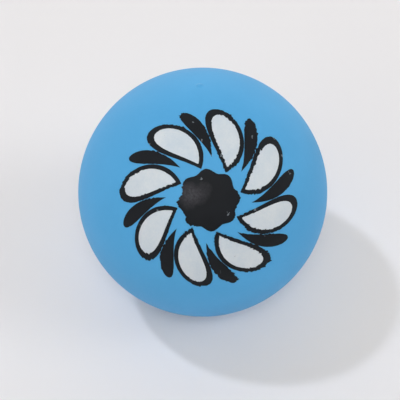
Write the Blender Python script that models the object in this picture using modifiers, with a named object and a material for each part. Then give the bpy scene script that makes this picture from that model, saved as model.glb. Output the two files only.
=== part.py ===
"""Hollow play ball of moulded rubber, 60 mm across.

Two hemispherical shells are moulded, buffed at the rims and cemented together. One of them has a
collar inside that holds a plug of soft gum. After the shells are joined, a needle is pushed through
the wall and the plug to let air in. The gum closes behind the needle, and a drop of cement fills the
hole in the wall and stands on the skin as a low round nub.

Units are metres and +Z is up. The origin is the centre of the ball. The ball lies with the middle of
its printed shell turned up and towards -Y.
"""

import math

import bpy

# Driving dimensions of the shells
BALL_DIAMETER = 0.060
SHELL_WALL = 0.0045
RIM_CHAMFER = 0.0006

# The rubber cement between the rims, and the bead that it squeezes out inside the ball
CEMENT_LINE = 0.0004
BEAD_HALF_WIDTH = 0.0016
BEAD_HEIGHT = 0.0009

# The soft plug and the moulded collar that holds it
PLUG_DIAMETER = 0.0070
PLUG_DOME_HEIGHT = 0.0016
SEAT_DEPTH = 0.0010
COLLAR_WALL = 0.0015
COLLAR_HEIGHT = 0.0022
COLLAR_FOOT_RADIUS = 0.0010

# The needle's hole through the wall, and the head of the cement that fills it
NEEDLE_HOLE_DIAMETER = 0.0012
SEAL_HEAD_DIAMETER = 0.0014
SEAL_HEAD_HEIGHT = 0.00025

# What lies or fits against another piece stays this far from it
SEAT_GAP = 0.0001

# The middle of the printed shell looks this far up from level, towards -Y
PRINT_ELEVATION = math.radians(45.0)
# The needle went in this far from the middle of the printed shell, and this far round from its top
NEEDLE_TILT = math.radians(58.5)
NEEDLE_TURN = math.radians(1.7)

# How finely the round forms are cut into facets
SHELL_STEPS = 72
OUTER_ARC_SEGMENTS = 18
INNER_ARC_SEGMENTS = 13
BEAD_SEGMENTS = 8
PLUG_STEPS = 32
PLUG_DOME_SEGMENTS = 5
COLLAR_EDGE_SEGMENTS = 4
SEAL_STEPS = 20
SEAL_HEAD_SEGMENTS = 4
SHARP_ANGLE = math.radians(35.0)
MERGE_DISTANCE = 0.000005

# Worked out from the dimensions above
BALL_RADIUS = BALL_DIAMETER / 2
INNER_RADIUS = BALL_RADIUS - SHELL_WALL
RIM_HEIGHT = CEMENT_LINE / 2 + SEAT_GAP
PLUG_RADIUS = PLUG_DIAMETER / 2
SEAT_RADIUS = PLUG_RADIUS + SEAT_GAP
SEAT_FLOOR = INNER_RADIUS + SEAT_DEPTH
COLLAR_RADIUS = SEAT_RADIUS + COLLAR_WALL
COLLAR_FOOT_EDGE = COLLAR_RADIUS + COLLAR_FOOT_RADIUS
COLLAR_FOOT = math.sqrt(INNER_RADIUS ** 2 - COLLAR_FOOT_EDGE ** 2)
COLLAR_LIP = COLLAR_FOOT - COLLAR_HEIGHT
HOLE_RADIUS = NEEDLE_HOLE_DIAMETER / 2


def start_clean():
    """Remove every object, and make one collection for the parts and one for the cutters."""
    for old in list(bpy.data.objects):
        bpy.data.objects.remove(old, do_unlink=True)
    collections = []
    for name in ("rubber_ball", "rubber_ball_cutters"):
        collection = bpy.data.collections.new(name)
        bpy.context.scene.collection.children.link(collection)
        collections.append(collection)
    return collections


PARTS, CUTTERS = start_clean()


def linear(hex_colour):
    """Turn an sRGB colour written as RRGGBB into linear red, green, blue and alpha."""
    channels = [int(hex_colour[i:i + 2], 16) / 255 for i in (0, 2, 4)]
    return [c / 12.92 if c <= 0.04045 else ((c + 0.055) / 1.055) ** 2.4 for c in channels] + [1.0]


def rubber(name, hex_colour, roughness):
    """Make the material of one rubber piece."""
    material = bpy.data.materials.new(name)
    material.use_nodes = True
    shader = material.node_tree.nodes["Principled BSDF"]
    shader.inputs["Base Color"].default_value = linear(hex_colour)
    shader.inputs["Roughness"].default_value = roughness
    shader.inputs["Metallic"].default_value = 0.0
    return material


def arc(radius, start, end, segments):
    """Points (radius, height) on a circle about the centre, at angles measured down from the axis."""
    angles = [start + (end - start) * i / segments for i in range(segments + 1)]
    return [(radius * math.sin(a), radius * math.cos(a)) for a in angles]


def rounded(centre, size, start, end, segments):
    """Points on a small ellipse of half-width and half-height size, at angles up from level."""
    angles = [start + (end - start) * i / segments for i in range(segments + 1)]
    return [(centre[0] + size[0] * math.cos(a), centre[1] + size[1] * math.sin(a)) for a in angles]


def on_sphere(radius, height):
    """The point at a height on the outline of a sphere about the centre."""
    return (math.sqrt(radius ** 2 - height ** 2), height)


def axis_empty(name, rotation, parent=None):
    """Make an empty at the ball's centre whose Z axis is the axis of what is turned about it."""
    empty = bpy.data.objects.new(name, None)
    empty.empty_display_type = "SINGLE_ARROW"
    empty.empty_display_size = BALL_RADIUS
    empty.rotation_euler = rotation
    empty.parent = parent
    PARTS.objects.link(empty)
    return empty


def turned(name, profile, steps, parent, collection=PARTS):
    """Turn a closed outline of (radius, height) points about Z.

    The outline runs down its outer side first. An outline that starts and ends on the axis is
    closed there by the turn.
    """
    last = len(profile) - 1
    edges = [(i, i + 1) for i in range(last)]
    if profile[0][0] > 0.0:
        edges.append((last, 0))
    outline = bpy.data.meshes.new(name + "_outline")
    outline.from_pydata([(radius, 0.0, height) for radius, height in profile], edges, [])
    piece = bpy.data.objects.new(name, outline)
    piece.parent = parent
    collection.objects.link(piece)

    screw = piece.modifiers.new("turn", "SCREW")
    screw.steps = steps
    screw.render_steps = steps
    screw.use_merge_vertices = True
    screw.merge_threshold = MERGE_DISTANCE

    # The turned mesh replaces the outline, so that its sharp edges can be marked.
    shape = piece.evaluated_get(bpy.context.evaluated_depsgraph_get())
    piece.data = bpy.data.meshes.new_from_object(shape)
    piece.data.name = name
    piece.modifiers.clear()
    piece.data.shade_smooth()
    piece.data.set_sharp_from_angle(angle=SHARP_ANGLE)
    bpy.data.meshes.remove(outline)
    return piece


def cutter(name, profile, steps, parent):
    """Make a turned solid that only shapes another piece."""
    solid = turned(name, profile, steps, parent, CUTTERS)
    solid.hide_render = True
    solid.display_type = "WIRE"
    return solid


def combine(piece, solid, operation):
    """Join a cutter's solid to a piece, or cut it away."""
    boolean = piece.modifiers.new(solid.name, "BOOLEAN")
    boolean.object = solid
    boolean.operation = operation


def cylinder_profile(radius, top, bottom):
    """The outline of a plain cylinder."""
    return [(0.0, top), (radius, top), (radius, bottom), (0.0, bottom)]


def half_shell(name, parent):
    """Turn one moulded shell: a round bowl with a flat rim that is chamfered on its inner edge."""
    outer_end = math.acos(RIM_HEIGHT / BALL_RADIUS)
    inner_start = math.acos((RIM_HEIGHT + RIM_CHAMFER) / INNER_RADIUS)
    inner_rim_radius = on_sphere(INNER_RADIUS, RIM_HEIGHT)[0]
    profile = arc(BALL_RADIUS, 0.0, outer_end, OUTER_ARC_SEGMENTS)
    profile.append((inner_rim_radius + RIM_CHAMFER, RIM_HEIGHT))
    profile += arc(INNER_RADIUS, inner_start, 0.0, INNER_ARC_SEGMENTS)
    profile[0] = (0.0, BALL_RADIUS)
    profile[-1] = (0.0, INNER_RADIUS)
    return turned(name, profile, SHELL_STEPS, parent)


def collar_blank(parent):
    """The solid boss that stands on the shell's inner wall, with a round lip and a filleted foot."""
    foot_centre = (COLLAR_FOOT_EDGE, COLLAR_FOOT - COLLAR_FOOT_RADIUS)
    foot_size = (COLLAR_FOOT_RADIUS, COLLAR_FOOT_RADIUS)
    lip_size = (COLLAR_WALL / 2, COLLAR_WALL / 2)
    lip_centre = (COLLAR_RADIUS - lip_size[0], COLLAR_LIP + lip_size[1])
    embedded = INNER_RADIUS + SEAT_DEPTH / 2
    profile = [(0.0, embedded), (foot_centre[0], embedded)]
    profile += rounded(foot_centre, foot_size, math.pi / 2, math.pi, COLLAR_EDGE_SEGMENTS)
    profile += rounded(lip_centre, lip_size, 0.0, -math.pi / 2, COLLAR_EDGE_SEGMENTS)
    profile.append((0.0, COLLAR_LIP))
    return cutter("collar_blank", profile, PLUG_STEPS, parent)


def printed_half_shell(parent, needle_axis):
    """The shell that carries the print: it has the plug's collar and the needle's hole."""
    shell = half_shell("printed_half_shell", parent)
    seat = cylinder_profile(SEAT_RADIUS, SEAT_FLOOR, COLLAR_LIP - SHELL_WALL)
    hole = cylinder_profile(HOLE_RADIUS, BALL_RADIUS + SHELL_WALL, SEAT_FLOOR - SHELL_WALL)
    combine(shell, collar_blank(needle_axis), "UNION")
    combine(shell, cutter("plug_seat", seat, PLUG_STEPS, needle_axis), "DIFFERENCE")
    combine(shell, cutter("needle_hole", hole, SEAL_STEPS, needle_axis), "DIFFERENCE")
    return shell


def seam_cement_ring(parent):
    """The cured cement: a thin web between the rims, and a round bead along the inner wall."""
    web = CEMENT_LINE / 2
    chamfer_shift = SEAT_GAP * (math.sqrt(2) - 1)
    chamfer_radius = on_sphere(INNER_RADIUS, RIM_HEIGHT)[0] + RIM_CHAMFER - chamfer_shift
    chamfer_height = RIM_HEIGHT + RIM_CHAMFER - chamfer_shift
    bead_seat = INNER_RADIUS - SEAT_GAP
    bead_foot = on_sphere(bead_seat, BEAD_HALF_WIDTH)[0]
    bead_size = (-BEAD_HEIGHT, BEAD_HALF_WIDTH)
    bead = rounded((bead_foot, 0.0), bead_size, -math.pi / 2, math.pi / 2, BEAD_SEGMENTS)

    outside = [on_sphere(BALL_RADIUS, web), (BALL_RADIUS, 0.0), on_sphere(BALL_RADIUS, -web)]
    under = [(chamfer_radius, -web), on_sphere(bead_seat, -chamfer_height)]
    over = [on_sphere(bead_seat, chamfer_height), (chamfer_radius, web)]
    return turned("seam_cement_ring", outside + under + bead + over, SHELL_STEPS, parent)


def inflation_plug(needle_axis):
    """The pellet of soft gum: a flat end in the seat, and a domed end that stands out of the collar."""
    base = SEAT_FLOOR - SEAT_GAP
    dome_size = (PLUG_RADIUS, PLUG_DOME_HEIGHT)
    profile = [(0.0, base), (PLUG_RADIUS, base)]
    profile += rounded((0.0, COLLAR_LIP), dome_size, 0.0, -math.pi / 2, PLUG_DOME_SEGMENTS)
    profile[-1] = (0.0, COLLAR_LIP - PLUG_DOME_HEIGHT)
    return turned("inflation_plug", profile, PLUG_STEPS, needle_axis)


def needle_hole_seal(needle_axis):
    """The cement in the needle's hole, from the plug to the low round head on the skin."""
    pin_radius = HOLE_RADIUS - SEAT_GAP
    head_base = BALL_RADIUS + SEAT_GAP
    head_size = (SEAL_HEAD_DIAMETER / 2, SEAL_HEAD_HEIGHT)
    profile = rounded((0.0, head_base), head_size, math.pi / 2, 0.0, SEAL_HEAD_SEGMENTS)
    profile[0] = (0.0, head_base + SEAL_HEAD_HEIGHT)
    profile += [(pin_radius, head_base), (pin_radius, SEAT_FLOOR), (0.0, SEAT_FLOOR)]
    return turned("needle_hole_seal", profile, SEAL_STEPS, needle_axis)


def build_ball():
    """Place the two axes, make the pieces on them and give each its material."""
    print_axis = axis_empty("print_axis", (math.pi / 2 - PRINT_ELEVATION, 0.0, 0.0))
    needle_axis = axis_empty("needle_axis", (-NEEDLE_TILT, 0.0, NEEDLE_TURN), print_axis)
    bpy.context.view_layer.update()

    plain_half = half_shell("plain_half_shell", print_axis)
    plain_half.rotation_euler = (math.pi, 0.0, 0.0)
    pieces = [
        (printed_half_shell(print_axis, needle_axis), "5BA9DC", 0.70),
        (plain_half, "5BA9DC", 0.72),
        (seam_cement_ring(print_axis), "4F97C9", 0.60),
        (inflation_plug(needle_axis), "C9A66B", 0.55),
        (needle_hole_seal(needle_axis), "69B4E4", 0.50),
    ]
    for piece, hex_colour, roughness in pieces:
        piece.data.materials.clear()
        piece.data.materials.append(rubber(piece.name + "_rubber", hex_colour, roughness))
    bpy.context.view_layer.update()


build_ball()
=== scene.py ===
# %% [markdown]
# # A hollow rubber ball with a printed motif
#
# The object is a play ball of moulded natural rubber, 60 mm across. It is two half shells that are
# cemented rim to rim, with a soft plug inside that let the air in, and a motif that a soft pad
# printed on one side in white and black. The solids of the shells, the cement, the plug and the
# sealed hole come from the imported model. This script dresses them: it turns smooth skins for the
# shells, models the seam and the small nub, prints the motif as thin films of ink, and gives each
# its finish.

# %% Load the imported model
import math

import bpy
import numpy as np
from mathutils import Matrix, Vector


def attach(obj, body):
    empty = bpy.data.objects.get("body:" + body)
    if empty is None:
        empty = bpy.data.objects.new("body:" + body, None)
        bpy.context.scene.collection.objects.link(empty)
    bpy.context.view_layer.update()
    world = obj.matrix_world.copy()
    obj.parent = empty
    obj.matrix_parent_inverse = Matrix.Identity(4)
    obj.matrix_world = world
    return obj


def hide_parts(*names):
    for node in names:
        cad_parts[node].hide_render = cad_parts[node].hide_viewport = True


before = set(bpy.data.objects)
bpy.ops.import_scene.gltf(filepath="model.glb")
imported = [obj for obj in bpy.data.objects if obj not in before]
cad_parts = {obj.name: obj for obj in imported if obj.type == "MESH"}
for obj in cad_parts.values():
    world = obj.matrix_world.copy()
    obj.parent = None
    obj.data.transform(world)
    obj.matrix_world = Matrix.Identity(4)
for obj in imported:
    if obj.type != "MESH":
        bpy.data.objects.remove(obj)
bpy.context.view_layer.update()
MM = 0.001
print("packed nodes:", sorted(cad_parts))

# %% [markdown]
# ## Where things are
#
# The ball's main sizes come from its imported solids, so that the skins and the ink lie where the
# CAD says. The cement ring is flat, so the direction in which its points spread least is the axis
# that the shells were turned about. The sealed needle's hole gives a second axis. Both pass
# through the centre.

# %% Read the axes and the sizes off the solids
def node_points(node):
    """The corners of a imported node, as rows of x, y and z."""
    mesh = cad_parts[node].data
    flat = np.zeros(len(mesh.vertices) * 3)
    mesh.vertices.foreach_get("co", flat)
    return flat.reshape(-1, 3)


shell_points = node_points("printed_half_shell")
plain_points = node_points("plain_half_shell")
ring_points = node_points("seam_cement_ring")
seal_points = node_points("needle_hole_seal")
plug_points = node_points("inflation_plug")

directions = np.linalg.eigh(np.cov(ring_points.T))[1]
print_axis = Vector(directions[:, 0]).normalized()
if print_axis.dot(Vector(shell_points.mean(0))) < 0.0:
    print_axis.negate()
needle_axis = Vector(seal_points.mean(0)).normalized()

BALL_RADIUS = float(np.linalg.norm(plain_points, axis=1).max())
INNER_RADIUS = float(np.linalg.norm(plain_points, axis=1).min())
RIM_HEIGHT = float(-(plain_points @ np.array(print_axis)).max())
print("ball radius, inner radius, rim height in mm:",
      [round(v / MM, 3) for v in (BALL_RADIUS, INNER_RADIUS, RIM_HEIGHT)])

# %% The plug's and the hole's sizes, along and across the needle's axis
plug_along = plug_points @ np.array(needle_axis)
plug_across = np.linalg.norm(plug_points - np.outer(plug_along, needle_axis), axis=1)
seal_along = seal_points @ np.array(needle_axis)

PLUG_RADIUS = float(plug_across.max())
PLUG_BASE = float(plug_along.max())
PLUG_TIP = float(plug_along.min())
SEAT_FLOOR = float(seal_along.min())
print("plug radius, base, tip and seat floor in mm:",
      [round(v / MM, 3) for v in (PLUG_RADIUS, PLUG_BASE, PLUG_TIP, SEAT_FLOOR)])

# %% [markdown]
# ## The camera
#
# The ball was photographed from above with a long lens, so its outline is very nearly a circle.
# The camera looks down at it from twelve radii away. The ball sits a little above and to the right
# of the middle of the picture, and that is done by aiming the camera, not by shifting the lens.

# %% Place the camera
PICTURE_WIDTH = 400
SENSOR_WIDTH = 36.0
CAMERA_ELEVATION = math.radians(48.5)
CAMERA_DISTANCE = 12 * BALL_RADIUS
BALL_WIDTH_PIXELS = 249.1
BALL_CENTRE_PIXELS = (202.7, 192.15)
NEAREST_SEEN = 10 * MM

half_angle = math.asin(BALL_RADIUS / CAMERA_DISTANCE)
focal_pixels = BALL_WIDTH_PIXELS / 2 / math.tan(half_angle)

towards_camera = Vector((0.0, -math.cos(CAMERA_ELEVATION), math.sin(CAMERA_ELEVATION)))
picture_up = Vector((0.0, math.sin(CAMERA_ELEVATION), math.cos(CAMERA_ELEVATION)))
aim_right = (PICTURE_WIDTH / 2 - BALL_CENTRE_PIXELS[0]) / focal_pixels * CAMERA_DISTANCE
aim_up = (BALL_CENTRE_PIXELS[1] - PICTURE_WIDTH / 2) / focal_pixels * CAMERA_DISTANCE
camera_place = towards_camera * CAMERA_DISTANCE
aim_point = Vector((aim_right, 0.0, 0.0)) + picture_up * aim_up

camera = bpy.data.objects.new("camera", bpy.data.cameras.new("camera"))
bpy.context.scene.collection.objects.link(camera)
camera.data.sensor_width = SENSOR_WIDTH
camera.data.lens = focal_pixels / PICTURE_WIDTH * SENSOR_WIDTH
camera.data.clip_start = NEAREST_SEEN
camera.location = camera_place
camera.rotation_euler = (aim_point - camera_place).to_track_quat("-Z", "Y").to_euler()
bpy.context.scene.camera = camera
bpy.context.scene.view_settings.view_transform = "Standard"
print("lens in mm:", round(camera.data.lens, 1))

# %% [markdown]
# ## Colours and nodes
#
# Colours are written as sRGB, as a paint program shows them, and turned to linear here. One helper
# adds a node to a tree, with its settings and with what goes into its sockets: a number, a colour,
# a socket of another node, or another node, which stands for its first output in use.

# %% Helpers for colours and node trees
# The commonest kinds of node
MATH = "ShaderNodeMath"
VECTOR_MATH = "ShaderNodeVectorMath"
MAP_RANGE = "ShaderNodeMapRange"
NOISE = "ShaderNodeTexNoise"
MIX = "ShaderNodeMix"
BUMP = "ShaderNodeBump"
SET_POSITION = "GeometryNodeSetPosition"
# The sockets of a Mix node that take its two colours
ONE, OTHER = 6, 7


def linear(hex_colour):
    """Turn an sRGB colour written as #RRGGBB into linear red, green, blue and alpha."""
    channels = [int(hex_colour[i:i + 2], 16) / 255 for i in (1, 3, 5)]
    return [c / 12.92 if c <= 0.04045 else ((c + 0.055) / 1.055) ** 2.4 for c in channels] + [1.0]


def wire(tree, node, inputs):
    """Fill a node's sockets, given by name or number, with values, sockets or other nodes."""
    for key, value in inputs.items():
        if isinstance(value, bpy.types.Node):
            value = next(socket for socket in value.outputs if socket.enabled)
        if isinstance(value, bpy.types.NodeSocket):
            tree.links.new(value, node.inputs[key])
        else:
            node.inputs[key].default_value = value
    return node


def add(tree, kind, inputs=None, **settings):
    """Add a node to a tree, set it up and fill its sockets."""
    node = tree.nodes.new(kind)
    for name, value in settings.items():
        setattr(node, name, value)
    return wire(tree, node, inputs or {})


def new_material(name):
    """A material with only a Principled shader, its node tree and the shader."""
    material = bpy.data.materials.new(name)
    material.use_nodes = True
    print("material", name)
    return material, material.node_tree, material.node_tree.nodes["Principled BSDF"]


# %% [markdown]
# ## The table
#
# The table is a pale, matte sheet that runs out of sight. It is only there to carry the shadow.

# %% Make the table
FLOOR_SIZE = 3.0

floor_mesh = bpy.data.meshes.new("table_top")
half = FLOOR_SIZE / 2
corners = [(x * half, y * half, -BALL_RADIUS) for x, y in ((-1, -1), (1, -1), (1, 1), (-1, 1))]
floor_mesh.from_pydata(corners, [], [(0, 1, 2, 3)])
floor = bpy.data.objects.new("table_top", floor_mesh)
bpy.context.scene.collection.objects.link(floor)

table_finish, tree, shader = new_material("matte_white_table_sheet")
wire(tree, shader, {"Base Color": linear("#E7E5E8"), "Roughness": 0.9, "Specular IOR Level": 0.0})
floor_mesh.materials.append(table_finish)
print("table:", FLOOR_SIZE, "m wide")

# %% [markdown]
# ## The light
#
# The shadow tells how the ball was lit. One edge of it is clear but soft, so a small lamp stood on
# the left, a little behind the ball. A large, low lamp on the right fills the dark side. The table
# in front is hardly darker right beside the ball than further off, so a soft box hung close to the
# camera, where the ball hides the box's own shadow. The rest came in low from a pale screen on the
# left and from pale walls, most of it from behind. The lamps are suns with a wide disc. The world
# holds the box, the screen and the walls, on top of a glow from the ceiling, and is a shade warmer
# than the lamps. Seen by the camera itself, the world is as pale as the table.

# %% Light from the ceiling and the walls
CEILING_LIGHT = 0.26
WALL_LIGHT = 2.03
WALL_FALLOFF = 2.0

world = bpy.data.worlds.new("photo_tent")
bpy.context.scene.world = world
world.use_nodes = True
tent = world.node_tree
outwards = add(tent, "ShaderNodeTexCoord").outputs["Generated"]
parts = add(tent, "ShaderNodeSeparateXYZ", {0: outwards}).outputs
low = add(tent, MATH, {0: 1.0, 1: parts["Z"]}, operation="SUBTRACT", use_clamp=True)
near_table = add(tent, MATH, {0: low, 1: WALL_FALLOFF}, operation="POWER")
behind = add(tent, MATH, {0: parts["Y"], 1: 0.5, 2: 0.5}, operation="MULTIPLY_ADD")
wall = add(tent, MATH, {0: near_table, 1: behind}, operation="MULTIPLY")
above = add(tent, MATH, {0: parts["Z"], 1: 0.0}, operation="MAXIMUM")
ceiling = add(tent, MATH, {0: above, 1: CEILING_LIGHT}, operation="MULTIPLY")
light = add(tent, MATH, {0: wall, 1: WALL_LIGHT, 2: ceiling}, operation="MULTIPLY_ADD")

# %% Soft lights in the world: azimuth and elevation in degrees, narrowness, strength
SOFT_LIGHTS = {"box by the camera": (270.0, 54.0, 80.0, 15.2),
               "screen on the left": (225.0, 30.0, 24.0, 1.36),
               "wall behind": (90.0, 15.0, 4.0, 0.55)}

for name, (azimuth, elevation, narrowness, strength) in SOFT_LIGHTS.items():
    turn, lift = math.radians(azimuth), math.radians(elevation)
    direction = (math.cos(lift) * math.cos(turn), math.cos(lift) * math.sin(turn), math.sin(lift))
    facing = add(tent, VECTOR_MATH, {0: outwards, 1: direction}, operation="DOT_PRODUCT")
    in_front = add(tent, MATH, {0: facing, 1: 0.0}, operation="MAXIMUM")
    spot = add(tent, MATH, {0: in_front, 1: narrowness}, operation="POWER")
    light = add(tent, MATH, {0: spot, 1: strength, 2: light}, operation="MULTIPLY_ADD")
    print(name, "towards", [round(part, 2) for part in direction])

# %% What the camera sees of the world
BACKDROP_LIGHT = 0.80

seen = add(tent, "ShaderNodeLightPath").outputs["Is Camera Ray"]
strength = add(tent, MIX, {"Factor": seen, "A": light, "B": BACKDROP_LIGHT})
wire(tent, tent.nodes["Background"], {"Color": linear("#FFFBF2"), "Strength": strength})
print(world.name, "has", len(tent.nodes), "nodes")

# %% Two lamps: azimuth, elevation and width in degrees, strength, colour
LAMPS = {"key_lamp": (162.0, 60.6, 4.2, 0.745, "#E9F1FF"),
         "fill_lamp": (345.0, 40.0, 25.0, 0.60, "#F3F9FF")}

for name, (azimuth, elevation, width, strength, colour) in LAMPS.items():
    data = bpy.data.lights.new(name, "SUN")
    data.energy = strength
    data.angle = math.radians(width)
    data.color = linear(colour)[:3]
    lamp = bpy.data.objects.new(name, data)
    bpy.context.scene.collection.objects.link(lamp)
    lamp.rotation_euler = (0.0, math.pi / 2 - math.radians(elevation), math.radians(azimuth))
print("lamps:", sorted(LAMPS))

# %% [markdown]
# ## How the round pieces are made
#
# Shells, plug, cement and nub were all moulded or squeezed round an axis, so one rule makes them
# all: an outline is turned about Z. A geometry tree does it. It lays a grid with one row for each
# point of the outline and one column for each step of the turn, moves each corner to its place,
# and welds the corners that meet at the seam and at the poles. A little waviness along the normals
# stands for what is squeezed out by hand rather than moulded.

# %% Helpers that start and end a geometry tree
# Corners nearer to each other than this are welded.
MERGE_DISTANCE = 0.0005 * MM


def new_tree(name, sockets):
    """A geometry tree that takes a geometry, a material and these inputs, and their sockets."""
    tree = bpy.data.node_groups.new(name, "GeometryNodeTree")
    for label, kind in [("Geometry", "Geometry"), ("Material", "Material")] + sockets:
        tree.interface.new_socket(label, in_out="INPUT", socket_type="NodeSocket" + kind)
    tree.interface.new_socket("Geometry", in_out="OUTPUT", socket_type="NodeSocketGeometry")
    return tree, add(tree, "NodeGroupInput").outputs


def unit_grid(tree, columns, rows):
    """A flat grid, one unit wide and high, and the place of each of its points."""
    grid = add(tree, "GeometryNodeMeshGrid", {
        "Size X": 1.0, "Size Y": 1.0, "Vertices X": columns, "Vertices Y": rows})
    here = add(tree, "GeometryNodeInputPosition")
    return grid, add(tree, "ShaderNodeSeparateXYZ", {0: here}).outputs


def end_tree(tree, given, geometry):
    """Lead a geometry out of its tree, as real faces that have the tree's material."""
    real = add(tree, "GeometryNodeRealizeInstances", {"Geometry": geometry})
    finished = add(tree, "GeometryNodeSetMaterial", {
        "Geometry": real, "Material": given["Material"]})
    add(tree, "NodeGroupOutput", {"Geometry": finished})
    print(tree.name, "has", len(tree.nodes), "nodes")


# %% The tree that turns an outline
turning, given = new_tree("turn_an_outline", [
    ("Steps", "Int"), ("Waviness", "Float"), ("Wave Length", "Float")])
outline = given["Geometry"]
here = add(turning, "GeometryNodeInputPosition")
size = add(turning, "GeometryNodeAttributeDomainSize", {"Geometry": outline}).outputs
columns = add(turning, MATH, {0: given["Steps"], 1: 1.0}, operation="ADD")
grid, place = unit_grid(turning, columns, size["Point Count"])
down = add(turning, MATH, {0: place["Y"], 1: 0.5}, operation="ADD")
last = add(turning, MATH, {0: size["Point Count"], 1: 1.0}, operation="SUBTRACT")
share = add(turning, MATH, {0: down, 1: last}, operation="MULTIPLY")
row = add(turning, MATH, {0: share}, operation="ROUND")
point = add(turning, "GeometryNodeSampleIndex", {"Geometry": outline, "Value": here, "Index": row},
            data_type="FLOAT_VECTOR", domain="POINT")
angle = add(turning, MATH, {0: place["X"], 1: -2 * math.pi, 2: math.pi}, operation="MULTIPLY_ADD")
spun = add(turning, "ShaderNodeVectorRotate", {"Vector": point, "Angle": angle},
           rotation_type="Z_AXIS")
lathe = add(turning, SET_POSITION, {"Geometry": grid, "Position": spun})
welded = add(turning, "GeometryNodeMergeByDistance", {
    "Geometry": lathe, "Distance": MERGE_DISTANCE})

# %% The waviness, and the tree's end
fineness = add(turning, MATH, {0: 1.0, 1: given["Wave Length"]}, operation="DIVIDE")
waves = add(turning, NOISE, {"Vector": here, "Scale": fineness, "Detail": 1.0})
centred = add(turning, MATH, {0: waves, 1: 0.5}, operation="SUBTRACT")
doubled = add(turning, MATH, {0: given["Waviness"], 1: 2.0}, operation="MULTIPLY")
swell = add(turning, MATH, {0: centred, 1: doubled}, operation="MULTIPLY")
normal = add(turning, "GeometryNodeInputNormal")
shift = add(turning, VECTOR_MATH, {0: normal, "Scale": swell}, operation="SCALE")
wavy = add(turning, SET_POSITION, {"Geometry": welded, "Offset": shift})
end_tree(turning, given, wavy)

# %% Helpers that run the trees and keep what they make
SHARP_ANGLE = math.radians(35.0)


def settle(piece):
    """Make what a piece's modifiers show its own mesh: one material, smooth but for its edges."""
    shown = piece.evaluated_get(bpy.context.evaluated_depsgraph_get())
    mesh = bpy.data.meshes.new_from_object(shown)
    piece.modifiers.clear()
    piece.data = mesh
    mesh.name = piece.name
    finishes = [material for material in mesh.materials if material]
    mesh.materials.clear()
    mesh.materials.append(finishes[0])
    mesh.polygons.foreach_set("material_index", [0] * len(mesh.polygons))
    mesh.shade_smooth()
    mesh.set_sharp_from_angle(angle=SHARP_ANGLE)
    print(piece.name, "has", len(mesh.polygons), "faces")
    return piece


def grow(name, trees, points=()):
    """Run geometry trees with their named values on a set of points, one after another."""
    start = bpy.data.meshes.new(name + "_start")
    start.from_pydata(list(points), [], [])
    piece = bpy.data.objects.new(name, start)
    bpy.context.scene.collection.objects.link(piece)
    for tree, values in trees:
        modifier = piece.modifiers.new(tree.name, "NODES")
        modifier.node_group = tree
        for socket in tree.interface.items_tree:
            if socket.in_out == "INPUT" and socket.name in values:
                modifier[socket.identifier] = values[socket.name]
    return settle(piece)


def turned(name, outline, axis, steps, material, waviness=0.0, wave_length=MM):
    """Turn an outline of (radius, height) points about Z, then stand the piece on an axis."""
    values = {"Steps": steps, "Waviness": waviness, "Wave Length": wave_length,
              "Material": material}
    piece = grow(name, [(turning, values)], [(radius, 0.0, height) for radius, height in outline])
    piece.data.transform(stand_on(axis))
    return piece


def stand_on(axis):
    """The turn that takes Z to an axis, with Y as near to straight up as it can be."""
    side = Vector((0.0, 0.0, 1.0)).cross(axis).normalized()
    return Matrix((side, axis.cross(side), axis)).transposed().to_4x4()


# %% [markdown]
# ## The rubber
#
# The ball is natural rubber, coloured in the mass with a blue pigment, pressed in a heated mould
# and then tumbled to take the shine off. Such rubber is matte, with a broad soft sheen that goes
# pale at the edge of the ball, where a thin bloom on the skin shows. The colour is almost even.
# What breaks it is faint clouds where the pigment is mixed a little thicker, a fine grain, and a
# paler, scratched band along the seam, where the joint was buffed flush.

# %% Make the rubber's finish
CLOUD_SIZE = 16 * MM
CLOUD_DEPTH = 0.12 * MM
FLECK_SIZE = 1.3 * MM
# The tumbled grain is about 0.1 mm wide. It is drawn three times as coarse, so that it can show.
GRAIN_SIZE = 0.3 * MM
GRAIN_DEPTH = 0.012 * MM
BUFFED_HALF_WIDTH = 2.4 * MM
SCRATCH_SIZE = (5 * MM, 5 * MM, 0.2 * MM)


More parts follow.
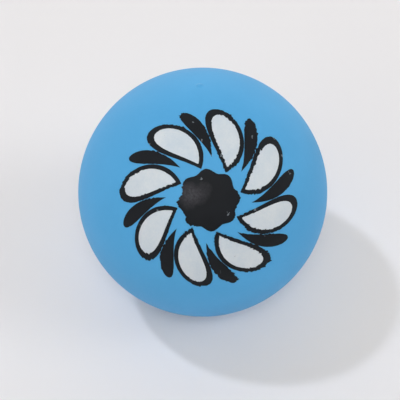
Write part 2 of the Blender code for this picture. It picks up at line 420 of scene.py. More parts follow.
def rubber(name, thin, thick, bloom):
    """Tumbled, pigmented natural rubber that varies between two blues, with a bloom of its own."""
    material, tree, shader = new_material(name)
    spot = add(tree, "ShaderNodeTexCoord").outputs["Object"]
    clouds = add(tree, NOISE, {
        "Vector": spot, "Scale": 1 / CLOUD_SIZE, "Detail": 3.0, "Distortion": 0.4})
    flecks = add(tree, NOISE, {"Vector": spot, "Scale": 1 / FLECK_SIZE, "Detail": 2.0})
    grain = add(tree, NOISE, {
        "Vector": spot, "Scale": 1 / GRAIN_SIZE, "Detail": 2.0, "Roughness": 0.6})
    mottle = add(tree, MATH, {0: flecks, 1: 0.3, 2: clouds}, operation="MULTIPLY_ADD")
    thickness = add(tree, MAP_RANGE, {"Value": mottle, "From Min": 0.45, "From Max": 0.85})
    pigment = add(tree, MIX, {
        "Factor": thickness, ONE: linear(thin), OTHER: linear(thick)}, data_type="RGBA")

    # Buffing: short scratches that run along the seam, and fade out to both sides of it.
    height = add(tree, VECTOR_MATH, {0: spot, 1: print_axis}, operation="DOT_PRODUCT")
    away = add(tree, MATH, {0: height}, operation="ABSOLUTE")
    band = add(tree, MAP_RANGE, {
        "Value": away, "From Max": BUFFED_HALF_WIDTH, "To Min": 1.0, "To Max": 0.0},
        interpolation_type="SMOOTHSTEP")
    along_seam = add(tree, "ShaderNodeMapping", {
        "Vector": spot, "Rotation": stand_on(print_axis).to_euler(),
        "Scale": SCRATCH_SIZE}, vector_type="TEXTURE")
    scratches = add(tree, NOISE, {"Vector": along_seam, "Scale": 1.0, "Detail": 2.0})
    scuff = add(tree, MATH, {0: band, 1: scratches}, operation="MULTIPLY")
    faded = add(tree, MIX, {
        "Factor": scuff, ONE: pigment, OTHER: linear("#6DB2DE")}, data_type="RGBA")

    dull = add(tree, MAP_RANGE, {
        "Value": grain, "From Min": 0.3, "From Max": 0.7, "To Min": 0.60, "To Max": 0.70})
    duller = add(tree, MATH, {0: scuff, 1: 0.15, 2: dull}, operation="MULTIPLY_ADD")
    relief = add(tree, MATH, {0: scuff, 1: 1.6, 2: grain}, operation="MULTIPLY_ADD")
    rise = add(tree, BUMP, {"Strength": 0.35, "Distance": GRAIN_DEPTH, "Height": relief})
    slow = add(tree, BUMP, {
        "Strength": 0.3, "Distance": CLOUD_DEPTH, "Height": clouds, "Normal": rise})
    wire(tree, shader, {
        "Base Color": faded, "Roughness": duller, "Normal": slow, "IOR": 1.52,
        "Specular IOR Level": 0.3, "Sheen Weight": bloom, "Sheen Roughness": 0.45,
        "Sheen Tint": linear("#E4F1FB")})
    return material


printed_rubber = rubber("tumbled_natural_rubber_printed_half", "#50A6DE", "#4CA2DA", 0.03)
plain_rubber = rubber("tumbled_natural_rubber_plain_half", "#4EA4DC", "#4AA0D8", 0.05)

# %% [markdown]
# ## The two half shells
#
# Each half is a bowl with a wall of even thickness and a flat rim. The inner edge of the rim has a
# chamfer that gives the cement room, and the outer edge is a little rounded by the buffing, so the
# seam shows as a fine groove. The outline runs from the pole down the outside, across the rim, and
# up the inside to the pole again. It has many more points than the solid's, so that the outline of
# the ball is round in a close view.

# %% The outline of a half shell
RIM_CHAMFER = 0.6 * MM
RIM_EDGE = 0.18 * MM
SHELL_STEPS = 240
OUTSIDE_SEGMENTS = 60
INSIDE_SEGMENTS = 40
EDGE_SEGMENTS = 4
CENTRE = (0.0, 0.0)


def arc(centre, size, start, end, segments):
    """Points (radius, height) along an arc, at angles measured down from the axis."""
    angles = np.linspace(start, end, segments + 1)
    return [(centre[0] + size * math.sin(a), centre[1] + size * math.cos(a)) for a in angles]


def level_with(radius, height):
    """The distance from the axis at a height on a sphere round the centre."""
    return math.sqrt(radius ** 2 - height ** 2)


edge_height = RIM_HEIGHT + RIM_EDGE
edge_centre = (level_with(BALL_RADIUS - RIM_EDGE, edge_height), edge_height)
edge_angle = math.acos(edge_height / (BALL_RADIUS - RIM_EDGE))
chamfer_radius = level_with(INNER_RADIUS, RIM_HEIGHT) + RIM_CHAMFER
inner_angle = math.acos((RIM_HEIGHT + RIM_CHAMFER) / INNER_RADIUS)

shell_outline = arc(CENTRE, BALL_RADIUS, 0.0, edge_angle, OUTSIDE_SEGMENTS)
shell_outline += arc(edge_centre, RIM_EDGE, edge_angle, math.pi, EDGE_SEGMENTS)[1:]
shell_outline.append((chamfer_radius, RIM_HEIGHT))
shell_outline += arc(CENTRE, INNER_RADIUS, inner_angle, 0.0, INSIDE_SEGMENTS)
print("points in the shell's outline:", len(shell_outline))

# %% Turn the plain half
plain_skin = turned("plain_shell_skin", shell_outline, -print_axis, SHELL_STEPS, plain_rubber)

# %% [markdown]
# ## The collar in the printed half
#
# The printed half also holds the plug. A collar stands on its inner wall, with a fillet at its
# foot and a round lip, and the seat for the plug and the needle's hole go through it. They lie on
# the needle's own axis, so they can't be part of the turned outline. Solids on that axis are
# joined to the shell and cut away from it instead, as the tool maker would cut the mould.

# %% The solids that shape the collar
SEAT_FIT = 0.02 * MM
# The solids keep this gap round the plug, and the collar's wall starts beyond it.
SEAT_GAP = 0.1 * MM
COLLAR_WALL = 1.5 * MM
COLLAR_HEIGHT = 2.2 * MM
COLLAR_FOOT = 1.0 * MM
HOLE_RADIUS = 0.6 * MM
INTO_THE_WALL = 0.5 * MM
PAST_THE_END = MM
ROUNDING_SEGMENTS = 8
COLLAR_STEPS = 96
SEAT_STEPS = 80
HOLE_STEPS = 48

seat_radius = PLUG_RADIUS + SEAT_FIT
collar_radius = PLUG_RADIUS + SEAT_GAP + COLLAR_WALL
foot_edge = collar_radius + COLLAR_FOOT
foot_height = level_with(INNER_RADIUS, foot_edge)
lip_height = foot_height - COLLAR_HEIGHT
lip_size = COLLAR_WALL / 2

collar_root = INNER_RADIUS + INTO_THE_WALL
collar_outline = [(0.0, collar_root), (foot_edge, collar_root)]
collar_outline += arc((foot_edge, foot_height - COLLAR_FOOT), COLLAR_FOOT,
                      0.0, -math.pi / 2, ROUNDING_SEGMENTS)
collar_outline += arc((collar_radius - lip_size, lip_height + lip_size), lip_size,
                      math.pi / 2, math.pi, ROUNDING_SEGMENTS)
collar_outline.append((0.0, lip_height))


def cutter(radius, top, bottom):
    """The outline of a round bar between two heights."""
    return [(0.0, top), (radius, top), (radius, bottom), (0.0, bottom)]


seat_outline = cutter(seat_radius, SEAT_FLOOR, PLUG_TIP - PAST_THE_END)
hole_outline = cutter(HOLE_RADIUS, BALL_RADIUS + PAST_THE_END, SEAT_FLOOR - PAST_THE_END)
print("collar radius and height of its lip in mm:",
      [round(v / MM, 2) for v in (collar_radius, lip_height)])

# %% Turn the printed half, and cut its seat and hole
CUT_WELD = 0.002 * MM

printed_skin = turned("printed_shell_skin", shell_outline, print_axis, SHELL_STEPS, printed_rubber)
shapers = []
for name, outline, steps, operation in (("collar", collar_outline, COLLAR_STEPS, "UNION"),
                                        ("plug_seat", seat_outline, SEAT_STEPS, "DIFFERENCE"),
                                        ("needle_hole", hole_outline, HOLE_STEPS, "DIFFERENCE")):
    shaper = turned(name, outline, needle_axis, steps, printed_rubber)
    boolean = printed_skin.modifiers.new(name, "BOOLEAN")
    boolean.object = shaper
    boolean.operation = operation
    boolean.solver = "EXACT"
    shapers.append(shaper)
printed_skin.modifiers.new("tidy_the_cuts", "WELD").merge_threshold = CUT_WELD
settle(printed_skin)
for shaper in shapers:
    bpy.data.objects.remove(shaper)

# %% [markdown]
# ## The cement in the seam
#
# The halves are joined with rubber cement in the same blue. When they are pressed together it
# fills the gap between the rims, and what is left over swells out in a soft bead inside the ball.
# Outside it is buffed off, just below the skin. It has no grain, because no mould shaped it, and
# it dries a little darker and smoother than the rubber.

# %% The cement's finish
SWIRL_SIZE = 2.2 * MM
SWIRL_DEPTH = 0.03 * MM
SKIN_RANGE = 0.12


def cement(name, light, dark, gloss):
    """Cured rubber cement: no grain, a soft skin, and small swirls where it ran."""
    material, tree, shader = new_material(name)
    spot = add(tree, "ShaderNodeTexCoord").outputs["Object"]
    swirls = add(tree, NOISE, {
        "Vector": spot, "Scale": 1 / SWIRL_SIZE, "Detail": 3.0, "Distortion": 1.2})
    pigment = add(tree, MIX, {
        "Factor": swirls, ONE: linear(light), OTHER: linear(dark)}, data_type="RGBA")
    skin = add(tree, MAP_RANGE, {
        "Value": swirls, "From Min": 0.3, "From Max": 0.7, "To Min": gloss,
        "To Max": gloss + SKIN_RANGE})
    rise = add(tree, BUMP, {"Strength": 0.4, "Distance": SWIRL_DEPTH, "Height": swirls})
    wire(tree, shader, {
        "Base Color": pigment, "Roughness": skin, "Normal": rise, "IOR": 1.50,
        "Specular IOR Level": 0.35})
    return material


seam_cement = cement("cured_rubber_cement_in_the_seam", "#4491C2", "#3B85B6", 0.52)

# %% The outline of the cement
BOND_GAP = 0.02 * MM
RECESS = 0.06 * MM
BEAD_HALF_WIDTH = 1.6 * MM
BEAD_HEIGHT = 0.9 * MM
BEAD_POINTS = 17
WEB_POINTS = 7

web = RIM_HEIGHT - BOND_GAP
chamfer_shift = BOND_GAP * (math.sqrt(2) - 1)
bead_radius = INNER_RADIUS - BOND_GAP
foot_radius = level_with(bead_radius, BEAD_HALF_WIDTH)
corner = (chamfer_radius - chamfer_shift, RIM_HEIGHT + RIM_CHAMFER - chamfer_shift)
bead = [(foot_radius - BEAD_HEIGHT * math.cos(a), BEAD_HALF_WIDTH * math.sin(a))
        for a in np.linspace(-math.pi / 2, math.pi / 2, BEAD_POINTS)]

outside = [(level_with(BALL_RADIUS - RECESS, h), h) for h in np.linspace(web, -web, WEB_POINTS)]
under = [(corner[0], -web), (level_with(bead_radius, corner[1]), -corner[1])]
over = [(level_with(bead_radius, corner[1]), corner[1]), (corner[0], web)]
cement_outline = outside + under + bead + over + outside[:1]
cement_ring = turned("seam_cement_bead", cement_outline, print_axis, SHELL_STEPS, seam_cement,
                     waviness=0.012 * MM, wave_length=3 * MM)

# %% [markdown]
# ## The plug
#
# The plug is a pellet of soft gum, pressed into the seat before the halves were joined. The gum
# closes behind the needle by itself. It is natural rubber with no pigment, so it is honey
# coloured, a little glossy and slightly see-through, with the odd bubble and speck. It can't be
# seen from outside.

# %% The gum's finish
STREAK_SIZE = 1.8 * MM
BUBBLE_SPACING = 0.9 * MM
PIT_DEPTH = 0.05 * MM


def gum(name):
    """Unpigmented soft gum: honey coloured, satin, a little light goes into it."""
    material, tree, shader = new_material(name)
    spot = add(tree, "ShaderNodeTexCoord").outputs["Object"]
    streaks = add(tree, NOISE, {
        "Vector": spot, "Scale": 1 / STREAK_SIZE, "Detail": 4.0, "Distortion": 0.8})
    honey = add(tree, "ShaderNodeValToRGB", {"Fac": streaks})
    stops = honey.color_ramp.elements
    stops[0].position, stops[1].position = 0.32, 0.68
    stops[0].color, stops[1].color = linear("#B8925A"), linear("#CFAE76")
    bubbles = add(tree, "ShaderNodeTexVoronoi", {"Vector": spot, "Scale": 1 / BUBBLE_SPACING})
    pits = add(tree, MAP_RANGE, {"Value": bubbles, "From Min": 0.08, "From Max": 0.2})
    satin = add(tree, MAP_RANGE, {"Value": streaks, "To Min": 0.38, "To Max": 0.55})
    rise = add(tree, BUMP, {"Strength": 0.5, "Distance": PIT_DEPTH, "Height": pits})
    wire(tree, shader, {
        "Base Color": honey, "Roughness": satin, "Normal": rise, "IOR": 1.52,
        "Subsurface Weight": 0.25, "Subsurface Radius": (0.8, 0.5, 0.25),
        "Subsurface Scale": 1.5 * MM})
    return material


plug_gum = gum("soft_natural_gum")

# %% Turn the plug
PLUG_DOME_HEIGHT = 1.6 * MM
PLUG_EDGE = 0.3 * MM
PLUG_EDGE_SEGMENTS = 5
DOME_POINTS = 13

dome_base = PLUG_TIP + PLUG_DOME_HEIGHT
plug_outline = [(0.0, PLUG_BASE)]
plug_outline += arc((PLUG_RADIUS - PLUG_EDGE, PLUG_BASE - PLUG_EDGE), PLUG_EDGE,
                    0.0, math.pi / 2, PLUG_EDGE_SEGMENTS)
plug_outline += [(PLUG_RADIUS * math.cos(a), dome_base - PLUG_DOME_HEIGHT * math.sin(a))
                 for a in np.linspace(0.0, math.pi / 2, DOME_POINTS)]
plug_outline[-1] = (0.0, PLUG_TIP)
plug = turned("soft_gum_plug", plug_outline, needle_axis, COLLAR_STEPS, plug_gum,
              waviness=0.015 * MM, wave_length=2.5 * MM)

# %% [markdown]
# ## The nub
#
# A drop of cement fills the needle's hole, and its head stands on the skin as a low soft nub, a
# third of a millimetre high and a little over two wide at its foot. It is the one bump on the
# ball. Its outline is a bell that runs out just under the skin, so it has no edge of its own.

# %% Turn the nub
NUB_RADIUS = 1.15 * MM
NUB_HEIGHT = 0.34 * MM
NUB_ROOT = 0.03 * MM
NUB_POINTS = 17
NUB_STEPS = 64
PIN_RADIUS = HOLE_RADIUS - BOND_GAP

seal_cement = cement("cured_rubber_cement_in_the_hole", "#53A8DF", "#4CA1D8", 0.56)
nub_outline = []
for share in np.linspace(0.0, 1.0, NUB_POINTS):
    radius = share * NUB_RADIUS
    bell = (NUB_HEIGHT + NUB_ROOT) * (1 - share ** 2) ** 2 - NUB_ROOT
    nub_outline.append((radius, level_with(BALL_RADIUS, radius) + bell))
pin_top = level_with(BALL_RADIUS, PIN_RADIUS) - 2 * NUB_ROOT
nub_outline += [(PIN_RADIUS, pin_top), (PIN_RADIUS, SEAT_FLOOR), (0.0, SEAT_FLOOR)]
nub = turned("needle_hole_nub", nub_outline, needle_axis, NUB_STEPS, seal_cement,
             waviness=0.02 * MM, wave_length=0.9 * MM)

# %% [markdown]
# ## How the motif is printed
#
# The motif is a whirl of eight white petals with black outlines, black drops between them and a
# black scalloped centre. A soft silicone pad picks the ink up from a flat plate and presses it on
# the ball straight along the middle of the print. So the motif is drawn flat, and a second tree
# presses it on the ball: it keeps each point where it lies when seen along the print's axis, and
# gives the ink the thickness of a film. Real ink is about a hundredth of a millimetre thick. Here
# it is a few times that, so that it stays clear of the skin.

# %% The tree that presses flat ink on the ball
pressing, given = new_tree("press_ink_on_the_ball", [
    ("Ball Radius", "Float"), ("Offset", "Vector"), ("Film Base", "Float"),
    ("Film Thickness", "Float")])
here = add(pressing, "GeometryNodeInputPosition")
shifted = add(pressing, VECTOR_MATH, {0: here, 1: given["Offset"]}, operation="ADD")
flat = add(pressing, VECTOR_MATH, {0: shifted, 1: (1.0, 1.0, 0.0)}, operation="MULTIPLY")
across = add(pressing, VECTOR_MATH, {0: flat, 1: flat}, operation="DOT_PRODUCT")
square = add(pressing, MATH, {0: given["Ball Radius"], 1: 2.0}, operation="POWER")
rest = add(pressing, MATH, {0: square, 1: across}, operation="SUBTRACT")
height = add(pressing, MATH, {0: rest}, operation="SQRT")
upwards = add(pressing, "ShaderNodeCombineXYZ", {"Z": height})
on_ball = add(pressing, VECTOR_MATH, {0: flat, 1: upwards}, operation="ADD")
pressed = add(pressing, SET_POSITION, {"Geometry": given["Geometry"], "Position": on_ball})

# %% The film's base, top and edge
outwards = add(pressing, VECTOR_MATH, {0: here}, operation="NORMALIZE")
lift = add(pressing, VECTOR_MATH, {0: outwards, "Scale": given["Film Base"]}, operation="SCALE")
lifted = add(pressing, SET_POSITION, {"Geometry": pressed, "Offset": lift})
base = add(pressing, "GeometryNodeMergeByDistance", {
    "Geometry": lifted, "Distance": MERGE_DISTANCE})
top = add(pressing, "GeometryNodeExtrudeMesh", {
    "Mesh": base, "Offset": outwards, "Offset Scale": given["Film Thickness"],
    "Individual": False}, mode="FACES")
under = add(pressing, "GeometryNodeFlipFaces", {"Mesh": base})
both = add(pressing, "GeometryNodeJoinGeometry", {0: top})
wire(pressing, both, {0: under})
closed = add(pressing, "GeometryNodeMergeByDistance", {
    "Geometry": both, "Distance": MERGE_DISTANCE})
end_tree(pressing, given, closed)

# %% [markdown]
# ## Frayed edges
#
# The edges of a pad print are never quite sharp. Along most of them the ink lies clean, but in
# patches it creeps and tears, by up to a third of a millimetre. The trees that draw the motif move
# their edges in and out by a fine noise, and a slower noise says where it is strong.

# %% A helper that frays an edge
FRAY_SOCKETS = [("Fray", "Float"), ("Fray Length", "Float"), ("Seed", "Float")]
PATCH_SIZE = 6 * MM


def frayed(tree, given, x, y, z):
    """The node that gives the distance by which an edge moves at a place."""
    level = add(tree, MATH, {0: z, 1: given["Seed"]}, operation="ADD")
    where = add(tree, "ShaderNodeCombineXYZ", {"X": x, "Y": y, "Z": level})
    fineness = add(tree, MATH, {0: 1.0, 1: given["Fray Length"]}, operation="DIVIDE")
    fine = add(tree, NOISE, {"Vector": where, "Scale": fineness, "Detail": 2.0, "Roughness": 0.65})
    slow = add(tree, NOISE, {"Vector": where, "Scale": 1 / PATCH_SIZE, "Detail": 0.0})
    worst = add(tree, MAP_RANGE, {
        "Value": slow, "From Min": 0.50, "From Max": 0.62, "To Min": 0.12})
    amount = add(tree, MATH, {0: worst, 1: given["Fray"]}, operation="MULTIPLY")
    centred = add(tree, MATH, {0: fine, 1: 0.5}, operation="SUBTRACT")
    return add(tree, MATH, {0: centred, 1: amount}, operation="MULTIPLY")


# %% [markdown]
# ## How the petals are drawn
#
# Outlines, white fills and black drops are all the same shape with other numbers: a leaf that can
# be pointed at its inner end, bent round the centre and repeated. One tree draws it. It lays a
# grid for each leaf, where one way runs round the leaf and the other runs in from its edge, stacks
# one grid for each leaf on top of the other, and then bends every grid to its own place. The
# margins say how far inside the leaf's edge the ink starts and ends. A fill ends at the leaf's
# middle, where it closes up, and an outline ends one line's width in. Ink can't hold a
# needle-sharp point, so the tips are blunt.

# %% The tree that draws a whirl of leaves, flat
TIP_BLUNTNESS = 0.02
# The leaves are drawn in a stack, and each storey has its own part of the noise that frays them.
STOREY_HEIGHT = 20 * MM

drawing, given = new_tree("draw_a_whirl_of_leaves", [
    ("Count", "Int"), ("Inner End", "Float"), ("Outer End", "Float"), ("Half Width", "Float"),
    ("Point", "Float"), ("Fullness", "Float"), ("Bend", "Float"), ("Start Angle", "Float"),
    ("Outer Margin", "Float"), ("Inner Margin", "Float"), ("Inner Fray", "Float"),
    ("Columns", "Int"), ("Rows", "Int")] + FRAY_SOCKETS)
grid, place = unit_grid(drawing, given["Columns"], given["Rows"])
stack = add(drawing, "GeometryNodeMeshLine", {"Count": given["Count"], "Offset": (0.0, 0.0, 1.0)})
copies = add(drawing, "GeometryNodeInstanceOnPoints", {"Points": stack, "Instance": grid})
sheets = add(drawing, "GeometryNodeRealizeInstances", {0: copies})
way = add(drawing, MATH, {0: place["X"], 1: -2 * math.pi, 2: math.pi}, operation="MULTIPLY_ADD")
cosine = add(drawing, MATH, {0: way}, operation="COSINE")
sine = add(drawing, MATH, {0: way}, operation="SINE")
length = add(drawing, MATH, {0: given["Outer End"], 1: given["Inner End"]}, operation="SUBTRACT")
half_length = add(drawing, MATH, {0: length, 1: 0.5}, operation="MULTIPLY")

# %% The margin, frayed at the leaf's edges
even_margin = add(drawing, MAP_RANGE, {
    "Value": place["Y"], "From Min": -0.5, "From Max": 0.5,
    "To Min": given["Outer Margin"], "To Max": given["Inner Margin"]})
lengthwise = add(drawing, MATH, {0: cosine, 1: half_length}, operation="MULTIPLY")
sideways = add(drawing, MATH, {0: sine, 1: given["Half Width"]}, operation="MULTIPLY")
storey = add(drawing, MATH, {0: place["Z"], 1: STOREY_HEIGHT, 2: even_margin},
             operation="MULTIPLY_ADD")
torn = frayed(drawing, given, lengthwise, sideways, storey)
hold = add(drawing, MAP_RANGE, {
    "Value": place["Y"], "From Min": -0.5, "From Max": 0.5,
    "To Min": 1.0, "To Max": given["Inner Fray"]})
margin = add(drawing, MATH, {0: torn, 1: hold, 2: even_margin}, operation="MULTIPLY_ADD")

# %% Along a leaf and across it
middle = add(drawing, MATH, {0: given["Inner End"], 1: half_length}, operation="ADD")
reach = add(drawing, MATH, {0: half_length, 1: margin}, operation="SUBTRACT")
back = add(drawing, MATH, {0: reach, 1: cosine}, operation="MULTIPLY")
along = add(drawing, MATH, {0: middle, 1: back}, operation="SUBTRACT")
width = add(drawing, MATH, {0: given["Half Width"], 1: margin}, operation="SUBTRACT")
wide = add(drawing, MATH, {0: width, 1: given["Fullness"]}, operation="MULTIPLY")
half_way = add(drawing, MATH, {0: way, 1: 0.5}, operation="MULTIPLY")
half_sine = add(drawing, MATH, {0: half_way}, operation="SINE")
blunt = add(drawing, MATH, {0: half_sine, 1: half_sine, 2: TIP_BLUNTNESS},
            operation="MULTIPLY_ADD")
half_point = add(drawing, MATH, {0: given["Point"], 1: 0.5}, operation="MULTIPLY")
open_end = add(drawing, MATH, {0: blunt, 1: half_point}, operation="POWER")
bulge = add(drawing, MATH, {0: sine, 1: open_end}, operation="MULTIPLY")
across = add(drawing, MATH, {0: wide, 1: bulge}, operation="MULTIPLY")

# %% Round the centre
step = add(drawing, MATH, {0: 2 * math.pi, 1: given["Count"]}, operation="DIVIDE")
turn = add(drawing, MATH, {0: place["Z"], 1: step, 2: given["Start Angle"]},
           operation="MULTIPLY_ADD")
bent = add(drawing, MATH, {0: along, 1: given["Bend"], 2: turn}, operation="MULTIPLY_ADD")
lean = add(drawing, MATH, {0: across, 1: along}, operation="DIVIDE")
heading = add(drawing, MATH, {0: bent, 1: lean}, operation="ADD")
ray = add(drawing, "ShaderNodeCombineXYZ", {"X": along})
spot = add(drawing, "ShaderNodeVectorRotate", {
    "Vector": ray, "Angle": heading}, rotation_type="Z_AXIS")
drawn = add(drawing, SET_POSITION, {"Geometry": sheets, "Position": spot})
end_tree(drawing, given, drawn)

# %% The tree that draws the scalloped centre, flat
centring, given = new_tree("draw_a_scalloped_disc", [
    ("Radius", "Float"), ("Scallops", "Int"), ("Scallop Depth", "Float"), ("Start Angle", "Float"),
    ("Columns", "Int"), ("Rows", "Int")] + FRAY_SOCKETS)
grid, place = unit_grid(centring, given["Columns"], given["Rows"])
way = add(centring, MATH, {0: place["X"], 1: 2 * math.pi}, operation="MULTIPLY")
phase = add(centring, MATH, {0: way, 1: given["Scallops"]}, operation="MULTIPLY")
ripple = add(centring, MATH, {0: phase}, operation="COSINE")
rim = add(centring, MATH, {
    0: ripple, 1: given["Scallop Depth"], 2: given["Radius"]}, operation="MULTIPLY_ADD")
cosine = add(centring, MATH, {0: way}, operation="COSINE")
sine = add(centring, MATH, {0: way}, operation="SINE")
east = add(centring, MATH, {0: cosine, 1: given["Radius"]}, operation="MULTIPLY")
north = add(centring, MATH, {0: sine, 1: given["Radius"]}, operation="MULTIPLY")
torn = frayed(centring, given, east, north, 0.0)
edge = add(centring, MATH, {0: rim, 1: torn}, operation="ADD")
share = add(centring, MATH, {0: 0.5, 1: place["Y"]}, operation="SUBTRACT")
distance = add(centring, MATH, {0: edge, 1: share}, operation="MULTIPLY")
heading = add(centring, MATH, {0: way, 1: given["Start Angle"]}, operation="ADD")
ray = add(centring, "ShaderNodeCombineXYZ", {"X": distance})
spot = add(centring, "ShaderNodeVectorRotate", {
    "Vector": ray, "Angle": heading}, rotation_type="Z_AXIS")
drawn = add(centring, SET_POSITION, {"Geometry": grid, "Position": spot})
end_tree(centring, given, drawn)

# %% [markdown]
# ## The inks
#
# Pad-printing ink for rubber is a thin, flexible lacquer that dries matte. The white doesn't cover
# fully, so the blue under it makes it look a cool grey, more so where the film is thin. The black
# covers well, but dust on the pad leaves pinholes in it and the ball's handling greys it in
# places.

# %% A helper that strews flecks
RAG_SIZE = 0.7 * MM
RAG_PUSH = (1.6 * MM, 1.6 * MM, 1.6 * MM)
FLECK_EDGE = 0.03


def flecks(tree, spot, spacing, chance, size):
    """A mask that is 1 in small ragged flecks. Chance is the share of the cells that have one."""
    push = add(tree, NOISE, {
        "Vector": spot, "Scale": 1 / RAG_SIZE, "Detail": 1.0}).outputs["Color"]
    pushed = add(tree, VECTOR_MATH, {0: push, 1: RAG_PUSH, 2: spot}, operation="MULTIPLY_ADD")
    cells = add(tree, "ShaderNodeTexVoronoi", {"Vector": pushed, "Scale": 1 / spacing}).outputs
    draw = add(tree, "ShaderNodeSeparateColor", {0: cells["Color"]}).outputs
    chosen = add(tree, MATH, {0: draw[0], 1: chance}, operation="LESS_THAN")
    reach = add(tree, MATH, {0: draw[1], 1: size / spacing}, operation="MULTIPLY")
    inside = add(tree, MATH, {0: reach, 1: cells["Distance"]}, operation="SUBTRACT")
    depth = add(tree, MAP_RANGE, {"Value": inside, "From Max": FLECK_EDGE})
    return add(tree, MATH, {0: chosen, 1: depth}, operation="MULTIPLY")


# %% The white ink
WHITE_FILM_CLOUDS = 7 * MM
WHITE_GRAIN = 0.5 * MM
WHITE_RELIEF = 0.01 * MM
DUST = {"spacing": 2.6 * MM, "chance": 0.35, "size": 0.35 * MM}


def white_ink(name):
    """Thin white lacquer over blue rubber: a cool grey-white with thinner spots, matte."""
    material, tree, shader = new_material(name)
    spot = add(tree, "ShaderNodeTexCoord").outputs["Object"]
    laid = add(tree, NOISE, {
        "Vector": spot, "Scale": 1 / WHITE_FILM_CLOUDS, "Detail": 4.0, "Roughness": 0.6})
    fine = add(tree, NOISE, {"Vector": spot, "Scale": 1 / WHITE_GRAIN, "Detail": 2.0})
    film = add(tree, MATH, {0: fine, 1: 0.35, 2: laid}, operation="MULTIPLY_ADD")
    cover = add(tree, MAP_RANGE, {"Value": film, "From Min": 0.50, "From Max": 0.85})
    clean = add(tree, MIX, {
        "Factor": cover, ONE: linear("#C4D0DC"), OTHER: linear("#D3DAE1")}, data_type="RGBA")
    dust = flecks(tree, spot, **DUST)
    colour = add(tree, MIX, {
        "Factor": dust, ONE: clean, OTHER: linear("#8E9299")}, data_type="RGBA")
    matte = add(tree, MAP_RANGE, {"Value": fine, "To Min": 0.50, "To Max": 0.68})
    rise = add(tree, BUMP, {"Strength": 0.3, "Distance": WHITE_RELIEF, "Height": film})
    wire(tree, shader, {"Base Color": colour, "Roughness": matte, "Normal": rise, "IOR": 1.48})
    return material


# %% The black ink
BLACK_FILM_CLOUDS = 6 * MM
BLACK_GRAIN = 0.45 * MM
BLACK_RELIEF = 0.02 * MM
PINHOLES = {"spacing": 2.0 * MM, "chance": 0.45, "size": 0.45 * MM}
WORN_SPOT = (-2.6 * MM, 1.4 * MM, level_with(BALL_RADIUS, 3.0 * MM))
WORN_RADIUS = 4.0 * MM
WORN_FADE = 4.0 * MM
WORN_RAGGEDNESS = 8 * MM


def black_ink(name):
    """Black lacquer: covers well, with pinholes, and greyed where the ball is handled most."""
    material, tree, shader = new_material(name)
    spot = add(tree, "ShaderNodeTexCoord").outputs["Object"]
    laid = add(tree, NOISE, {"Vector": spot, "Scale": 1 / BLACK_FILM_CLOUDS, "Detail": 4.0})
    fine = add(tree, NOISE, {
        "Vector": spot, "Scale": 1 / BLACK_GRAIN, "Detail": 3.0, "Roughness": 0.7})
    even = add(tree, MIX, {
        "Factor": laid, ONE: linear("#15171B"), OTHER: linear("#1E2126")}, data_type="RGBA")

    # Wear: a ragged patch where the top of the ink is rubbed grey, in fine specks.
    worn_place = stand_on(print_axis) @ Vector(WORN_SPOT)
    gap = add(tree, VECTOR_MATH, {0: spot, 1: worn_place}, operation="DISTANCE")
    ragged = add(tree, MATH, {0: laid, 1: WORN_RAGGEDNESS, 2: gap}, operation="MULTIPLY_ADD")
    patch = add(tree, MAP_RANGE, {
        "Value": ragged, "From Min": WORN_RADIUS, "From Max": WORN_RADIUS + WORN_FADE,
        "To Min": 1.0, "To Max": 0.0})
    speck = add(tree, MAP_RANGE, {
        "Value": fine, "From Min": 0.35, "From Max": 0.65, "To Min": 0.45})
    wear = add(tree, MATH, {0: patch, 1: speck}, operation="MULTIPLY")
    rubbed = add(tree, MIX, {
        "Factor": wear, ONE: even, OTHER: linear("#525157")}, data_type="RGBA")

    # Pinholes: small ragged spots where dust kept the ink off.
    pinhole = flecks(tree, spot, **PINHOLES)
    colour = add(tree, MIX, {
        "Factor": pinhole, ONE: rubbed, OTHER: linear("#6B737B")}, data_type="RGBA")

    matte = add(tree, MAP_RANGE, {"Value": fine, "To Min": 0.48, "To Max": 0.66})
    duller = add(tree, MATH, {0: wear, 1: 0.15, 2: matte}, operation="MULTIPLY_ADD")
    dip = add(tree, MATH, {0: fine, 1: pinhole}, operation="SUBTRACT")
    rise = add(tree, BUMP, {"Strength": 0.3, "Distance": BLACK_RELIEF, "Height": dip})
    wire(tree, shader, {
        "Base Color": colour, "Roughness": duller, "Normal": rise, "IOR": 1.48,
        "Specular IOR Level": 0.12})
    return material


white_lacquer = white_ink("pad_printed_white_lacquer")
black_lacquer = black_ink("pad_printed_black_lacquer")

# %% [markdown]
# ## Printing the motif
#
# White goes on first and black over it, as on a real two-colour print, so the black outline laps
# over the edge of the white and hides small errors where the two don't meet. The motif's middle is
# a millimetre or so to the right of the shell's own middle, because the ball sat a little turned
# in the jig.

# %% The motif's sizes
PETALS = 8
PETAL_ENDS = (7.2 * MM, 20.2 * MM)
PETAL_HALF_WIDTH = 4.3 * MM
LINE_WIDTH = 1.2 * MM
OVERLAP = 0.5 * MM
DROP_ENDS = (9.6 * MM, 20.2 * MM)
DROP_HALF_WIDTH = 1.8 * MM
# A petal is 13 mm long, and from its inner end to its tip it leans by 0.45 radians.
BEND = 0.45 / (13.0 * MM)
HUB_RADIUS = 6.6 * MM
SCALLOP_DEPTH = 0.4 * MM
FILM_BASE = 0.004 * MM
WHITE_FILM = 0.026 * MM
BLACK_FILM = 0.040 * MM
PRINT_OFFSET = Vector((1.4 * MM, 0.0, 0.0))
FRAY = {"Fray": 1.6 * MM, "Fray Length": 0.6 * MM}


def fullness(point):
    """The factor that makes a leaf with this point at its inner end as wide as its half width."""
    way = np.linspace(0.0, math.pi, 721)
    open_end = (np.sin(way / 2) ** 2 + TIP_BLUNTNESS) ** (point / 2)
    return float(1.0 / (np.sin(way) * open_end).max())


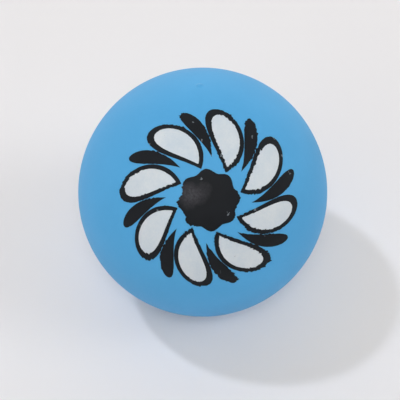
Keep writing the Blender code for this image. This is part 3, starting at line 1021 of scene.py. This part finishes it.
def printed(name, drawing_tree, values, ink, thickness):
    """Draw a part of the motif flat, press it on the ball and stand it on the print's axis."""
    film = {"Ball Radius": BALL_RADIUS, "Offset": PRINT_OFFSET, "Film Base": FILM_BASE,
            "Film Thickness": thickness, "Material": ink}
    piece = grow(name, [(drawing_tree, {**values, "Material": ink}), (pressing, film)])
    piece.data.transform(stand_on(print_axis))
    return piece


# %% Print the white petals
petal = {"Count": PETALS, "Inner End": PETAL_ENDS[0], "Outer End": PETAL_ENDS[1],
         "Half Width": PETAL_HALF_WIDTH, "Point": 1.0, "Fullness": fullness(1.0), "Bend": BEND,
         "Start Angle": 0.0, "Columns": 321}
fill = {"Outer Margin": LINE_WIDTH - OVERLAP, "Inner Margin": PETAL_HALF_WIDTH, "Rows": 9}
petal_fills = printed("print_white_petals", drawing, {**petal, **fill}, white_lacquer, WHITE_FILM)

# %% Print the black outlines, drops and centre
line = {"Outer Margin": 0.0, "Inner Margin": LINE_WIDTH, "Inner Fray": 1.0, "Rows": 5, "Seed": 0.1}
drop = {"Count": PETALS, "Inner End": DROP_ENDS[0], "Outer End": DROP_ENDS[1],
        "Half Width": DROP_HALF_WIDTH, "Point": 1.5, "Fullness": fullness(1.5), "Bend": BEND,
        "Start Angle": math.pi / PETALS, "Outer Margin": 0.0, "Inner Margin": DROP_HALF_WIDTH,
        "Inner Fray": 0.0, "Columns": 241, "Rows": 6, "Seed": 0.3}
hub = {"Radius": HUB_RADIUS, "Scallops": PETALS, "Scallop Depth": SCALLOP_DEPTH,
       "Start Angle": 0.1, "Columns": 361, "Rows": 16, "Seed": 0.5}

petal_lines, drops, hub_disc = [
    printed(name, tree, {**values, **FRAY}, black_lacquer, BLACK_FILM)
    for name, tree, values in (("print_petal_outlines", drawing, {**petal, **line}),
                               ("print_black_drops", drawing, drop),
                               ("print_black_centre", centring, hub))]

# %% [markdown]
# ## What moves with what, and what stands for what
#
# The ball has no joints, so every piece rides on its one body. Each skin stands for its solid, and
# the films of ink are pieces of their own, each with the finish of its own ink.

# %% Tie the pieces to the imported model
stands_for = {printed_skin: "printed_half_shell", plain_skin: "plain_half_shell",
              cement_ring: "seam_cement_ring", plug: "inflation_plug", nub: "needle_hole_seal"}
ink_of = {petal_fills: "white_print_ink", petal_lines: "black_print_ink",
          drops: "black_print_ink", hub_disc: "black_print_ink"}
for piece, node in stands_for.items():
    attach(piece, "root")
    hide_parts(node)
    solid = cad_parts[node].data
    solid.materials.clear()
    solid.materials.append(piece.data.materials[0])
for piece, slot in ink_of.items():
    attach(piece, "root")
print(len(stands_for), "pieces stand for solids and", len(ink_of), "are ink")
